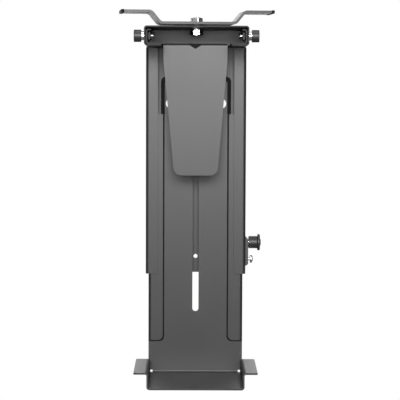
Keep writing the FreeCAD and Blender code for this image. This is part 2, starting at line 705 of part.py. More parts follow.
def build():
    """All pieces by node name."""
    knob = clamp_knob()
    screw = clamp_screw()
    nut = clamp_nut()
    return {
        "carriage_plate": carriage_plate(),
        "glide_cap_right": glide_cap(1),
        "glide_cap_left": glide_cap(-1),
        "pivot_bolt": pivot_bolt(),
        "thrust_washer": washer(THRUST_R, WASHERS_MEET, WEB_UNDER),
        "spacer_washer": washer(THRUST_R, HOUSING_TOP, WASHERS_MEET),
        "pivot_washer": washer(WASHER_R, NUT_TOP, HOUSING_CEILING),
        "pivot_nut": pivot_nut(),
        "top_housing": top_housing(),
        "upper_channel": upper_channel(),
        "lower_panel": lower_panel(),
        "clamp_tongue": clamp_tongue(),
        "tongue_pad": tongue_pad(),
        "clamp_knob_right": knob,
        "clamp_knob_left": mirrored(knob),
        "clamp_screw_right": screw,
        "clamp_screw_left": mirrored(screw),
        "clamp_nut_right": nut,
        "clamp_nut_left": mirrored(nut),
        "plunger_plate": plunger_plate(),
        "plunger_bushing": plunger_bushing(),
        "plunger_pin": plunger_pin(),
        "plunger_spring": plunger_spring(),
        "plunger_knob": plunger_knob(),
        "plunger_plate_screw": plunger_plate_screw(),
    }


def main():
    os.makedirs("parts", exist_ok=True)
    for name, shape in build().items():
        solids = shape.Solids
        whole = solids[0] if len(solids) == 1 else Part.makeCompound(solids)
        whole.exportStep(f"parts/{name}.step")
        print(f"{name:22s} solids {len(solids)} valid {whole.isValid()} "
              f"volume {whole.Volume / 1000:.2f} cm3")


main()
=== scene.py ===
import math

import bpy
import numpy as np
from mathutils import Matrix, Vector


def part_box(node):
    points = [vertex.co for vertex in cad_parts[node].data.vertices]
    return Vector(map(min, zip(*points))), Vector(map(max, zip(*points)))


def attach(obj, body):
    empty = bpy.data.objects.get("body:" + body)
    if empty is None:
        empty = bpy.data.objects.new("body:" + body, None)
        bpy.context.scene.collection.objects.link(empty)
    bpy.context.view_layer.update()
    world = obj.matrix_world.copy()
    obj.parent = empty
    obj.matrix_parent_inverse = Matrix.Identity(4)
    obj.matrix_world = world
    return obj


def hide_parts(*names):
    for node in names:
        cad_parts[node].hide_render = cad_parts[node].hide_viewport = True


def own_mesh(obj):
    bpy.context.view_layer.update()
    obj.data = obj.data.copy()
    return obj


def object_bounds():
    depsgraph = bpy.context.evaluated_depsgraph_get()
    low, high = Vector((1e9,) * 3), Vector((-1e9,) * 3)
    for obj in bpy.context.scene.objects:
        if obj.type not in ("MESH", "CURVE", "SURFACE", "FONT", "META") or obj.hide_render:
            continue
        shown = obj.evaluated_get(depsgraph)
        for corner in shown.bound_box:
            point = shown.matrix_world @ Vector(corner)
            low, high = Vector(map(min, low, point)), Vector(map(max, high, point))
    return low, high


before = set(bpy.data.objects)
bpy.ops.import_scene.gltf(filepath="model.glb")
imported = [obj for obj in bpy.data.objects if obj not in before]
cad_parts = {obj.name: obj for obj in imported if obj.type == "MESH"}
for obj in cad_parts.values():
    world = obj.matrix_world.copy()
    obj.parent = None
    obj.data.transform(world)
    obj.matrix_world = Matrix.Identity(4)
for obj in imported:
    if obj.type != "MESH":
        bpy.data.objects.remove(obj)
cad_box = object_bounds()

# Looks of the under-desk computer holder. Metres, +Z up, -Y towards the open clamp side,
# origin on the swivel axis, level with the tops of the carriage wings. Shapes are worked
# out in millimetres and scaled by MM.

MM = 0.001
TAU = 2 * math.pi
LEAST_TURN = 0.001
CORNER_CUT = 0.02
HEX = 6
SQUARE = 4
M8_RADIUS, M8_PITCH, M8_FLATS = 4.0, 1.25, 13.0
M6_RADIUS, M6_PITCH = 3.0, 1.0
NUT_CONE = math.tan(math.radians(30))


# ---- surfaces ---------------------------------------------------------------

def rounded(corners, radii, steps):
    """Profile points along straight runs, each inner corner replaced by a tangent arc of
    its radius, cut into equal angles. The arc's point at angle a is its centre, plus the
    radius to its start times cos a, plus the incoming direction times radius times sin a."""
    corners = np.array(corners, float)
    path = [corners[0]]
    for before, corner, after, radius in zip(corners, corners[1:], corners[2:], radii):
        into = (corner - before) / np.linalg.norm(corner - before)
        out = (after - corner) / np.linalg.norm(after - corner)
        turn = math.acos(float(np.clip(into @ out, -1, 1)))
        if radius <= 0 or turn < LEAST_TURN:
            path.append(corner)
            continue
        inward = (out - into) / np.linalg.norm(out - into)
        centre = corner + inward * radius / math.cos(turn / 2)
        start = corner - into * radius * math.tan(turn / 2) - centre
        path.extend(centre + start * math.cos(a) + into * radius * math.sin(a)
                    for a in np.linspace(0, turn, steps))
    path.append(corners[-1])
    return np.array(path)


def ring_faces(rings, around, looped):
    """Quads of a grid whose rings close on themselves; a looped grid joins its last ring
    to its first."""
    index = np.arange(rings * around).reshape(rings, around)
    below = index if looped else index[:-1]
    above = np.roll(index, -1, axis=0) if looped else index[1:]
    quads = (below, np.roll(below, -1, axis=1), np.roll(above, -1, axis=1), above)
    return np.stack(quads, axis=-1).reshape(-1, 4)


def pole_faces(ring, pole):
    """Triangles that join a ring of point numbers to one point."""
    return np.stack((np.full(len(ring), pole), ring, np.roll(ring, -1)), axis=-1)


def signed_volume(points, quads, triangles):
    """Sixth of the sum of the triple products of every triangle's corners."""
    fans = [quads[:, [0, 1, 2]], quads[:, [0, 2, 3]], *triangles]
    corners = points[np.concatenate(fans)]
    triples = np.einsum("ij,ij->i", corners[:, 0], np.cross(corners[:, 1], corners[:, 2]))
    return float(triples.sum() / 6)


def piece(name, points, quads, triangles, body, slot, finish, nodes, crease=35.0):
    """Mesh object with outward faces that rides on a body and stands for CAD nodes."""
    quads = np.asarray(quads)
    if signed_volume(points, quads, triangles) < 0:
        quads = quads[:, ::-1]
        triangles = [t[:, ::-1] for t in triangles]
    faces = quads.tolist()
    for group in triangles:
        faces += group.tolist()
    mesh = bpy.data.meshes.new(name)
    mesh.from_pydata(points.tolist(), [], faces)
    mesh.validate()
    mesh.shade_smooth()
    mesh.set_sharp_from_angle(angle=math.radians(crease))
    mesh.materials.append(finish)
    made = bpy.data.objects.new(name, mesh)
    bpy.context.scene.collection.objects.link(made)
    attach(made, body)
    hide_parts(*nodes)
    return made


def turned(name, along, radius, centre, axis, looped, **rest):
    """Surface round an axis: point (s, r) at angle a lies s along the axis and r out from
    it. along and radius are rings by angles, so r may change with the angle."""
    rings, around = np.broadcast_shapes(along.shape, radius.shape)
    along = np.broadcast_to(along, (rings, around))
    radius = np.broadcast_to(radius, (rings, around))
    angle = angles_round(around)
    first, second = radius * np.cos(angle), radius * np.sin(angle)
    order = {"x": (along, first, second), "z": (first, second, along)}[axis]
    points = np.stack(order, axis=-1).reshape(-1, 3) + np.array(centre)
    triangles = []
    if not looped:
        ends = np.zeros((2, 3))
        ends[:, 0 if axis == "x" else 2] = along[0, 0], along[-1, 0]
        ends = ends + np.array(centre)
        number = len(points)
        points = np.concatenate((points, ends))
        first_ring = np.arange(around)
        last_ring = first_ring + (rings - 1) * around
        triangles = [pole_faces(first_ring[::-1], number), pole_faces(last_ring, number + 1)]
    quads = ring_faces(rings, around, looped)
    return piece(name, points, quads, triangles, **rest)


def angles_round(count):
    """Equal angles once round, from 0."""
    return np.arange(count) * TAU / count


def polygon_radius(angle, sides, across_flats, first_flat):
    """Distance from the middle of a regular polygon to its edge: the half width over the
    cosine of the angle to the nearest flat, with corners cut back a little."""
    sector = TAU / sides
    off = (angle - first_flat + sector / 2) % sector - sector / 2
    corner = across_flats / 2 / math.cos(sector / 2)
    return np.minimum(across_flats / 2 / np.cos(off), corner * (1 - CORNER_CUT))


def thread(along, angle, crest, root, pitch):
    """Radius of a screw thread: a triangle wave between root and crest that moves on by
    one pitch for each turn."""
    phase = (along / pitch - angle / TAU) % 1.0
    return root + (crest - root) * np.abs(2 * phase - 1)


# ---- node helpers -------------------------------------------------------------

def add_node(tree, kind, inputs=None, **settings):
    """New node; an input given as a socket is joined, any other value is set on it."""
    made = tree.nodes.new(kind)
    for name, value in settings.items():
        setattr(made, name, value)
    for name, value in (inputs or {}).items():
        if isinstance(value, bpy.types.NodeSocket):
            tree.links.new(value, made.inputs[name])
        else:
            made.inputs[name].default_value = value
    return made


def sums(tree, operation, first, second, third=None, clamp=False):
    """Output of a Math node on two or three numbers or sockets."""
    inputs = {0: first, 1: second}
    if third is not None:
        inputs[2] = third
    made = add_node(tree, "ShaderNodeMath", inputs, operation=operation, use_clamp=clamp)
    return made.outputs[0]


def group_tree(name, inputs, outputs):
    """Empty shader node group with named number or vector inputs and number outputs."""
    tree = bpy.data.node_groups.new(name, "ShaderNodeTree")
    for label, kind, value in inputs:
        socket = tree.interface.new_socket(label, in_out="INPUT", socket_type=kind)
        if value is not None:
            socket.default_value = value
    for label in outputs:
        tree.interface.new_socket(label, in_out="OUTPUT", socket_type="NodeSocketFloat")
    return tree, tree.nodes.new("NodeGroupInput"), tree.nodes.new("NodeGroupOutput")


def noise(tree, vector, scale, detail=2.0, roughness=0.5):
    """Value of a noise texture at a scale in waves per metre."""
    inputs = {"Vector": vector, "Scale": scale, "Detail": detail, "Roughness": roughness}
    return add_node(tree, "ShaderNodeTexNoise", inputs).outputs[0]


def surface_grain_group():
    """Height: soft dimples plus a finer grain. Tone: slow drift over the whole piece."""
    tree, given, result = group_tree(
        "surface_grain",
        [("Vector", "NodeSocketVector", None), ("Dimples", "NodeSocketFloat", 700.0),
         ("Grain", "NodeSocketFloat", 2600.0), ("Grain Share", "NodeSocketFloat", 0.35)],
        ["Height", "Tone"])
    dimples = noise(tree, given.outputs["Vector"], given.outputs["Dimples"], 1.0)
    grain = noise(tree, given.outputs["Vector"], given.outputs["Grain"], 3.0, 0.6)
    share = given.outputs["Grain Share"]
    coarse = sums(tree, "MULTIPLY", dimples, sums(tree, "SUBTRACT", 1.0, share))
    height = sums(tree, "MULTIPLY_ADD", grain, share, coarse)
    drift_scale = 18.0
    tone = noise(tree, given.outputs["Vector"], drift_scale, 3.0, 0.55)
    tree.links.new(height, result.inputs["Height"])
    tree.links.new(tone, result.inputs["Tone"])
    return tree


def worn_edges_group():
    """Mask: near 1 where the surface turns sharply within a radius, broken up by noise."""
    tree, given, result = group_tree(
        "worn_edges",
        [("Vector", "NodeSocketVector", None), ("Radius", "NodeSocketFloat", 0.0006),
         ("Spread", "NodeSocketFloat", 0.5)],
        ["Mask"])
    bevel = add_node(tree, "ShaderNodeBevel", {"Radius": given.outputs["Radius"]}, samples=4)
    plain = add_node(tree, "ShaderNodeNewGeometry").outputs["Normal"]
    turn = add_node(tree, "ShaderNodeVectorMath", {0: bevel.outputs[0], 1: plain},
                    operation="DOT_PRODUCT").outputs["Value"]
    turn_gain, patch_scale, patch_contrast, patch_level = 6.0, 240.0, 2.4, -0.7
    sharp = sums(tree, "MULTIPLY", sums(tree, "SUBTRACT", 1.0, turn), turn_gain, clamp=True)
    patches = noise(tree, given.outputs["Vector"], patch_scale, 3.0, 0.6)
    patches = sums(tree, "MULTIPLY_ADD", patches, patch_contrast, patch_level, clamp=True)
    broken = sums(tree, "MULTIPLY", sharp, patches)
    mask = sums(tree, "MULTIPLY", broken, given.outputs["Spread"], clamp=True)
    tree.links.new(mask, result.inputs["Mask"])
    return tree


def settled_dust_group():
    """Mask: faint specks and a film on faces that look up."""
    tree, given, result = group_tree(
        "settled_dust",
        [("Vector", "NodeSocketVector", None), ("Amount", "NodeSocketFloat", 0.1)],
        ["Mask"])
    normal = add_node(tree, "ShaderNodeNewGeometry").outputs["Normal"]
    upward = add_node(tree, "ShaderNodeSeparateXYZ", {0: normal}).outputs["Z"]
    falloff, cloud_scale = 3.0, 55.0
    speck_scale, speck_floor, speck_gain, speck_share = 1500.0, 0.72, 9.0, 0.25
    upward = sums(tree, "POWER", sums(tree, "MAXIMUM", upward, 0.0), falloff)
    cloud = noise(tree, given.outputs["Vector"], cloud_scale, 4.0, 0.6)
    specks = noise(tree, given.outputs["Vector"], speck_scale, 1.0)
    specks = sums(tree, "SUBTRACT", specks, speck_floor)
    specks = sums(tree, "MULTIPLY", specks, speck_gain, clamp=True)
    film = sums(tree, "MULTIPLY", cloud, upward)
    both = sums(tree, "MULTIPLY_ADD", specks, speck_share, film)
    mask = sums(tree, "MULTIPLY", both, given.outputs["Amount"], clamp=True)
    tree.links.new(mask, result.inputs["Mask"])
    return tree


# ---- finishes ---------------------------------------------------------------------

GRAIN = surface_grain_group()
WEAR = worn_edges_group()
DUST = settled_dust_group()


def mixed_colour(tree, share, first, second):
    """Colour between two colours by a share."""
    made = add_node(tree, "ShaderNodeMix", data_type="RGBA")
    for place, value in ((0, share), (6, first), (7, second)):
        if isinstance(value, bpy.types.NodeSocket):
            tree.links.new(value, made.inputs[place])
        else:
            made.inputs[place].default_value = value
    return made.outputs[2]


def grey(value, warm=0.0):
    """Nearly neutral colour; warm adds a little red and takes a little blue."""
    return (value * (1 + warm), value, value * (1 - warm), 1.0)


def finish(name, colour, worn, roughness, spread, metallic=0.0, dimples=700.0, grain=2600.0,
           share=0.35, depth=0.00002, wear=0.4, wear_radius=0.0005, dust=0.08,
           specular=0.5, dull_front=None):
    """Material: drifting colour, worn edges, dust, and a bump of dimples and grain; cut
    sheet edges in front of dull_front, a place along Y, are rougher."""
    made = bpy.data.materials.new(name)
    made.use_nodes = True
    tree = made.node_tree
    shader = tree.nodes["Principled BSDF"]
    place = add_node(tree, "ShaderNodeTexCoord").outputs["Object"]
    texture = add_node(tree, "ShaderNodeGroup", node_tree=GRAIN)
    edges = add_node(tree, "ShaderNodeGroup", node_tree=WEAR)
    dusty = add_node(tree, "ShaderNodeGroup", node_tree=DUST)
    for group in (texture, edges, dusty):
        tree.links.new(place, group.inputs["Vector"])
    texture.inputs["Dimples"].default_value = dimples
    texture.inputs["Grain"].default_value = grain
    texture.inputs["Grain Share"].default_value = share
    edges.inputs["Radius"].default_value = wear_radius
    edges.inputs["Spread"].default_value = wear
    dusty.inputs["Amount"].default_value = dust
    tone = texture.outputs["Tone"]
    drift, film_colour, film_roughness, cut_roughness = 0.18, grey(0.45, 0.03), 0.5, 0.32
    dark = tuple(c * (1 - drift) for c in colour[:3]) + (1.0,)
    light = tuple(c * (1 + drift) for c in colour[:3]) + (1.0,)
    body = mixed_colour(tree, tone, dark, light)
    body = mixed_colour(tree, edges.outputs["Mask"], body, worn)
    body = mixed_colour(tree, dusty.outputs["Mask"], body, film_colour)
    rough = sums(tree, "MULTIPLY_ADD", tone, spread, roughness - spread / 2)
    rough = sums(tree, "MULTIPLY_ADD", dusty.outputs["Mask"], film_roughness, rough,
                 clamp=True)
    if dull_front is not None:
        along = add_node(tree, "ShaderNodeSeparateXYZ", {0: place}).outputs["Y"]
        ahead = sums(tree, "LESS_THAN", along, dull_front)
        rough = sums(tree, "MULTIPLY_ADD", ahead, cut_roughness, rough, clamp=True)
    bump = add_node(tree, "ShaderNodeBump",
                    {"Height": texture.outputs["Height"], "Distance": depth, "Strength": 1.0})
    tree.links.new(body, shader.inputs["Base Color"])
    tree.links.new(rough, shader.inputs["Roughness"])
    tree.links.new(bump.outputs["Normal"], shader.inputs["Normal"])
    shader.inputs["Metallic"].default_value = metallic
    shader.inputs["Specular IOR Level"].default_value = specular
    return made


POWDER = finish("powder_coat", grey(0.022), grey(0.12), 0.40, 0.06, dimples=620.0,
                grain=2400.0, depth=0.000035, wear=0.35, wear_radius=0.0006, dust=0.05)
PLASTIC = finish("moulded_plastic", grey(0.022), grey(0.08), 0.44, 0.10, dimples=1500.0,
                 grain=4200.0, share=0.6, depth=0.00002, wear=0.3, dust=0.06)
POWDER_CUT = finish("powder_coat_cut_front", grey(0.022), grey(0.12), 0.40, 0.06, dimples=620.0,
                    grain=2400.0, depth=0.000035, wear=0.2, wear_radius=0.0006, dust=0.05,
                    dull_front=-0.0475)
NYLON = finish("nylon_washer", grey(0.035), grey(0.06), 0.50, 0.08, dimples=900.0,
               grain=3000.0, depth=0.00001, wear=0.3, dust=0.03)
CAPS = finish("moulded_cap", grey(0.006), grey(0.02), 0.60, 0.08, dimples=1500.0,
              grain=4200.0, share=0.6, depth=0.00002, wear=0.1, dust=0.03, specular=0.08)
ZINC = finish("zinc_plate", grey(0.78, -0.01), grey(0.55), 0.24, 0.10, metallic=1.0,
              dimples=1300.0, grain=5200.0, depth=0.000006, wear=0.5, dust=0.03)
SPRING = finish("spring_wire", grey(0.55), grey(0.35), 0.30, 0.10, metallic=1.0,
                dimples=2500.0, grain=6000.0, depth=0.000004, wear=0.2, dust=0.02)
# Dark oxide finish of the slider nuts; the side screws also take it inside the housing as
# painted shade.
OXIDE_AND_PAINTED_SHADE = finish("black_oxide_and_painted_shade", grey(0.012), grey(0.05), 0.50, 0.10, dimples=1300.0,
               grain=4500.0, depth=0.00001, wear=0.5, dust=0.03, specular=0.25)
FOAM = finish("closed_cell_foam", grey(0.022), grey(0.05), 0.92, 0.06, dimples=1100.0,
              grain=2300.0, share=0.5, depth=0.00025, wear=0.0, dust=0.25, specular=0.2)

for node, look in {
    "carriage_plate": POWDER, "top_housing": POWDER_CUT, "upper_channel": POWDER,
    "lower_panel": POWDER, "clamp_tongue": POWDER_CUT, "plunger_plate": POWDER,
    "thrust_washer": POWDER, "spacer_washer": NYLON, "pivot_washer": ZINC,
    "glide_cap_left": CAPS, "glide_cap_right": CAPS,
    "plunger_bushing": ZINC, "plunger_pin": ZINC,
}.items():
    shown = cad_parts[node]
    shown.data.materials.clear()
    shown.data.materials.append(look)


# ---- swivel bolt and nut --------------------------------------------------------

def box_mm(node):
    """Lowest and highest corner of a CAD node, in millimetres."""
    low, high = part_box(node)
    return np.array(low) / MM, np.array(high) / MM


def pivot_bolt():
    """Hexagon head: the side follows the hexagon, its top edge cut by a cone of 30
    degrees; the shank is plain and its last part carries a thread."""
    around, thread_rings = 96, 64
    angle = angles_round(around)
    low, high = box_mm("pivot_bolt")
    top = high[2]
    web_thickness = 3.0
    under = box_mm("thrust_washer")[1][2] + web_thickness
    thread_start = box_mm("top_housing")[1][2] - 2.0
    thread_depth, point_radius = 0.65, 2.9
    dish, dish_radius = 0.25, 3.0
    face = M8_FLATS / 2 - 0.5
    hexagon = polygon_radius(angle, HEX, M8_FLATS, math.radians(75))
    chamfer = top - np.maximum(hexagon - face, 0) * NUT_CONE
    ones = np.ones(around)
    heights = [top - dish, top - dish, top - dish, top, top]
    radii = [0.4, dish_radius, face - 1.4, face - 0.9, face]
    along = [ones * h for h in heights] + [chamfer - 0.02, chamfer - 0.12]
    radius = [ones * r for r in radii] + [hexagon - 0.10, hexagon]
    along += [ones * (under + 0.3), ones * under, ones * under]
    radius += [hexagon, hexagon - 0.25, ones * M8_RADIUS]
    run = np.linspace(under - 0.01, low[2] + 0.9, thread_rings)
    threaded = np.clip(thread_start - run, 0, 1)
    for s, share in zip(run, threaded):
        along.append(ones * s)
        groove = thread(s, angle, M8_RADIUS, M8_RADIUS - thread_depth, M8_PITCH)
        radius.append(M8_RADIUS + (groove - M8_RADIUS) * share)
    along += [ones * (low[2] + 0.1), ones * low[2]]
    radius += [ones * (point_radius + 0.2), ones * point_radius]
    turned("swivel_bolt", np.array(along) * MM, np.array(radius) * MM, (0, 0, 0), "z", False,
           body="carriage", slot="bright_zinc", finish=ZINC, nodes=["pivot_bolt"])


def nut_rings(angle, start, end, sides, flats, first_flat, bore, chamfer_face):
    """Rings of a nut: down the bore, out over one face, over its cone, along the flats and
    back over the other face. The cone drops by the tangent of 30 degrees times the reach
    past the face."""
    ones = np.ones(len(angle))
    flat = polygon_radius(angle, sides, flats, first_flat)
    cone = np.maximum(flat - chamfer_face, 0) * NUT_CONE + 0.05
    lead = 0.4
    along = [ones * (start + lead), ones * start, ones * start, start + cone, end - cone,
             ones * end, ones * end, ones * (end - lead)]
    radius = [ones * bore, ones * (bore + lead), ones * chamfer_face, flat, flat,
              ones * chamfer_face, ones * (bore + lead), ones * bore]
    return np.array(along), np.array(radius)


def pivot_nut():
    """Hexagon nut with a cone on both faces, one flat towards the open side."""
    low, high = box_mm("pivot_nut")
    clearance, face = 0.02, 6.1
    along, radius = nut_rings(angles_round(96), low[2], high[2], HEX, M8_FLATS,
                              math.radians(30), M8_RADIUS + clearance, face)
    turned("swivel_nut", along * MM, radius * MM, (0, 0, 0), "z", True, body="carriage",
           slot="bright_zinc", finish=ZINC, nodes=["pivot_nut"])


# ---- side knobs -------------------------------------------------------------------

def clamp_knob(side, sign):
    """Knurled grip: its radius falls between ribs by half of one minus the cosine of the
    rib angle, to the power 1.5, faded out at both rounded ends; the outer face is dished."""
    low, high = box_mm(f"clamp_knob_{side}")
    middle = (low + high) / 2
    inner, outer = sorted((abs(low[0]), abs(high[0])))
    radius = (high[2] - low[2]) / 2
    rim, dish = 1.6, 0.7
    profile = rounded([(inner, 3.0), (inner, radius), (outer, radius), (outer, radius - rim),
                       (outer - dish, radius - rim - 0.5), (outer - dish, 0.3)],
                      [0.4, 0.5, 0.5, 0.4], 6)
    barrel = np.linspace(profile[7], profile[8], 8)[1:-1]
    spine = np.concatenate([profile[:8], barrel, profile[7:]])
    ribs, rib_depth, rib_fade = 38, 0.42, 0.5
    angle = angles_round(ribs * 8)
    along, base = spine[:, :1], spine[:, 1:]
    groove = (0.5 - 0.5 * np.cos(ribs * angle)) ** 1.5 * rib_depth
    from_wall = np.clip((along - inner - 0.5) / rib_fade, 0, 1)
    from_face = np.clip((outer - 0.6 - along) / rib_fade, 0, 1)
    grip = np.clip((base - radius + 0.8) / 0.6, 0, 1)
    depth = groove[None, :] * (from_wall * from_face) * grip
    along = np.broadcast_to(along, depth.shape)
    turned(f"side_knob_{side}", along * sign * MM, (base - depth) * MM,
           (0, middle[1] * MM, middle[2] * MM), "x", False, body=f"knob_{side}",
           slot="black_plastic", finish=PLASTIC, nodes=[f"clamp_knob_{side}"])


def clamp_screw(side, sign):
    """Threaded stud with a round collar outside the wall. Inside the housing, apart from its
    bright tip, its zinc gives way to the dark oxide finish as painted shade, standing for the
    housing's shade."""
    low, high = box_mm(f"clamp_screw_{side}")
    middle = (low + high) / 2
    tip, end = sorted((abs(low[0]), abs(high[0])))
    wall = box_mm("top_housing")[1][0] + 0.2
    point, collar, collar_width, edge = 1.9, 5.0, 3.2, 0.3
    thread_rings, thread_depth, bright_tip = 72, 0.5, 5.5
    run = np.linspace(tip + 1.0, wall - 0.2, thread_rings)
    collar_end = wall + collar_width
    along = [tip, tip, *run, wall, wall, wall + edge, collar_end - edge, collar_end,
             collar_end, end, end]
    radius = [0.3, point, *([M6_RADIUS] * thread_rings), M6_RADIUS, collar - edge, collar,
              collar, collar - edge, M6_RADIUS, M6_RADIUS, 0.3]
    along, radius = np.array(along)[:, None], np.array(radius)[:, None]
    cut = thread(along, angles_round(48)[None, :], 0.0, -thread_depth, M6_PITCH)
    threaded = ((along > tip + 0.5) & (along < wall - 0.1)).astype(float)
    radius = radius + cut * threaded
    made = turned(f"side_screw_{side}", np.broadcast_to(along, radius.shape) * sign * MM,
                  radius * MM, (0, middle[1] * MM, middle[2] * MM), "x", False,
                  body=f"knob_{side}", slot="bright_zinc", finish=ZINC,
                  nodes=[f"clamp_screw_{side}"])
    # Painted shade: inside the housing, apart from the tip, the stud's faces get the dark oxide
    # finish in place of zinc, to stand for the housing's shade.
    made.data.materials.append(OXIDE_AND_PAINTED_SHADE)
    faces = made.data.polygons
    centres = np.empty(len(faces) * 3)
    faces.foreach_get("center", centres)
    from_middle = np.abs(centres[::3])
    painted_shade_faces = (from_middle < (wall - edge) * MM) & (from_middle > (tip + bright_tip) * MM)
    faces.foreach_set("material_index", painted_shade_faces.astype(np.int32))


def clamp_nut(side, sign):
    """Square nut with its corners cut by a cone."""
    low, high = box_mm(f"clamp_nut_{side}")
    middle = (low + high) / 2
    start, end = sorted((abs(low[0]), abs(high[0])))
    clearance, face = 0.08, 4.5
    along, radius = nut_rings(angles_round(96), start, end, SQUARE, high[2] - low[2], 0.0,
                              M6_RADIUS + clearance, face)
    turned(f"slider_nut_{side}", along * sign * MM, radius * MM,
           (0, middle[1] * MM, middle[2] * MM), "x", True, body="frame",
           slot="black_steel", finish=OXIDE_AND_PAINTED_SHADE, nodes=[f"clamp_nut_{side}"])


# ---- index plunger ------------------------------------------------------------------

def pull_knob():
    """Barrel with a wide disc and a small boss on its end, hollow towards the wall."""
    low, high = box_mm("plunger_knob")
    middle = (low + high) / 2
    start, end = low[0], high[0]
    barrel, hollow, stem = 7.2, 4.9, 1.8
    disc, disc_thickness = (high[2] - low[2]) / 2, 3.0
    boss, boss_height = 4.0, 1.0
    disc_end = end - boss_height
    disc_start = disc_end - disc_thickness
    stem_end, hollow_end = disc_start + 1.5, disc_start - 2.1
    profile = rounded([(stem_end, 0.3), (stem_end, stem), (hollow_end, stem),
                       (hollow_end, hollow), (start, hollow), (start, barrel),
                       (disc_start, barrel), (disc_start, disc), (disc_end, disc),
                       (disc_end, boss), (end, boss - 0.4), (end, 0.3)],
                      [0, 0, 0, 0, 0.9, 0.8, 1.0, 1.0, 0.5, 0.5], 7)
    turned("pull_knob", profile[:, :1] * MM, profile[:, 1:] * MM * np.ones((1, 72)),
           (0, middle[1] * MM, middle[2] * MM), "x", False, body="plunger",
           slot="black_plastic", finish=PLASTIC, nodes=["plunger_knob"], crease=28.0)


def plunger_spring():
    """Coil: a wire's round section carried square along a helix."""
    low, high = box_mm("plunger_spring")
    wire, turns, steps, around = 0.35, 5, 40, 12
    coil = (high[2] - low[2]) / 2 - wire
    run = high[0] - low[0] - 2 * wire
    share = np.linspace(0, 1, turns * steps + 1)
    turn = TAU * turns * share
    flat = np.zeros_like(turn)
    outward = np.stack((flat, np.cos(turn), np.sin(turn)), axis=-1)
    ahead = np.stack((flat + run / (TAU * turns), -coil * np.sin(turn), coil * np.cos(turn)),
                     axis=-1)
    ahead /= np.linalg.norm(ahead, axis=1, keepdims=True)
    beside = np.cross(ahead, outward)
    line = outward * coil + np.array([0.0, low[1] + high[1], low[2] + high[2]]) / 2
    line[:, 0] = low[0] + wire + run * share
    angle = angles_round(around)[None, :, None]
    rings = (line[:, None] + wire * np.cos(angle) * outward[:, None]
             + wire * np.sin(angle) * beside[:, None])
    points = np.concatenate((rings.reshape(-1, 3), line[[0, -1]]))
    number = len(share) * around
    first_ring = np.arange(around)
    last_ring = first_ring + number - around
    caps = [pole_faces(first_ring[::-1], number), pole_faces(last_ring, number + 1)]
    made = piece("pin_spring", points * MM, ring_faces(len(share), around, False), caps,
                 body="frame", slot="spring_steel", finish=SPRING, nodes=["plunger_spring"])
    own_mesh(made)


def plate_screw():
    """Pan head with a cross recess: the face sinks where a point lies within the cross's
    arms, deepest in the middle."""
    low, high = box_mm("plunger_plate_screw")
    middle = (low + high) / 2
    start, end = low[0], high[0]
    head, head_height, shank = (high[2] - low[2]) / 2, 3.2, 2.0
    under = end - head_height
    outer = rounded([(start, 0.2), (start, shank - 0.4), (start + 0.5, shank),
                     (under, shank), (under, head), (end - 1.2, head), (end, head - 2.2),
                     (end, 0.15)],
                    [0, 0, 0, 0.3, 1.0, 4.0], 6)
    face = np.linspace(outer[-2], outer[-1], 14)[1:]
    spine = np.concatenate([outer[:-1], face])
    around, cross_turn = 96, 0.5
    angle = angles_round(around) + cross_turn
    along, radius = spine[:, :1], spine[:, 1:] * np.ones((1, around))
    across, up = radius * np.cos(angle), radius * np.sin(angle)
    arm_half, arm_edge, arm_reach, cross_depth = 0.55, 0.2, 2.5, 1.1
    arm = np.maximum(np.clip((arm_half - np.abs(across)) / arm_edge, 0, 1),
                     np.clip((arm_half - np.abs(up)) / arm_edge, 0, 1))
    inner = np.clip((arm_reach - radius) / 0.9, 0, 1)
    sunk = arm * inner * (along > end - 1.0) * cross_depth
    turned("plate_screw", (along - sunk) * MM, radius * MM,
           (0, middle[1] * MM, middle[2] * MM), "x", False, body="frame",
           slot="bright_zinc", finish=ZINC, nodes=["plunger_plate_screw"])


# ---- foam pad ---------------------------------------------------------------------------

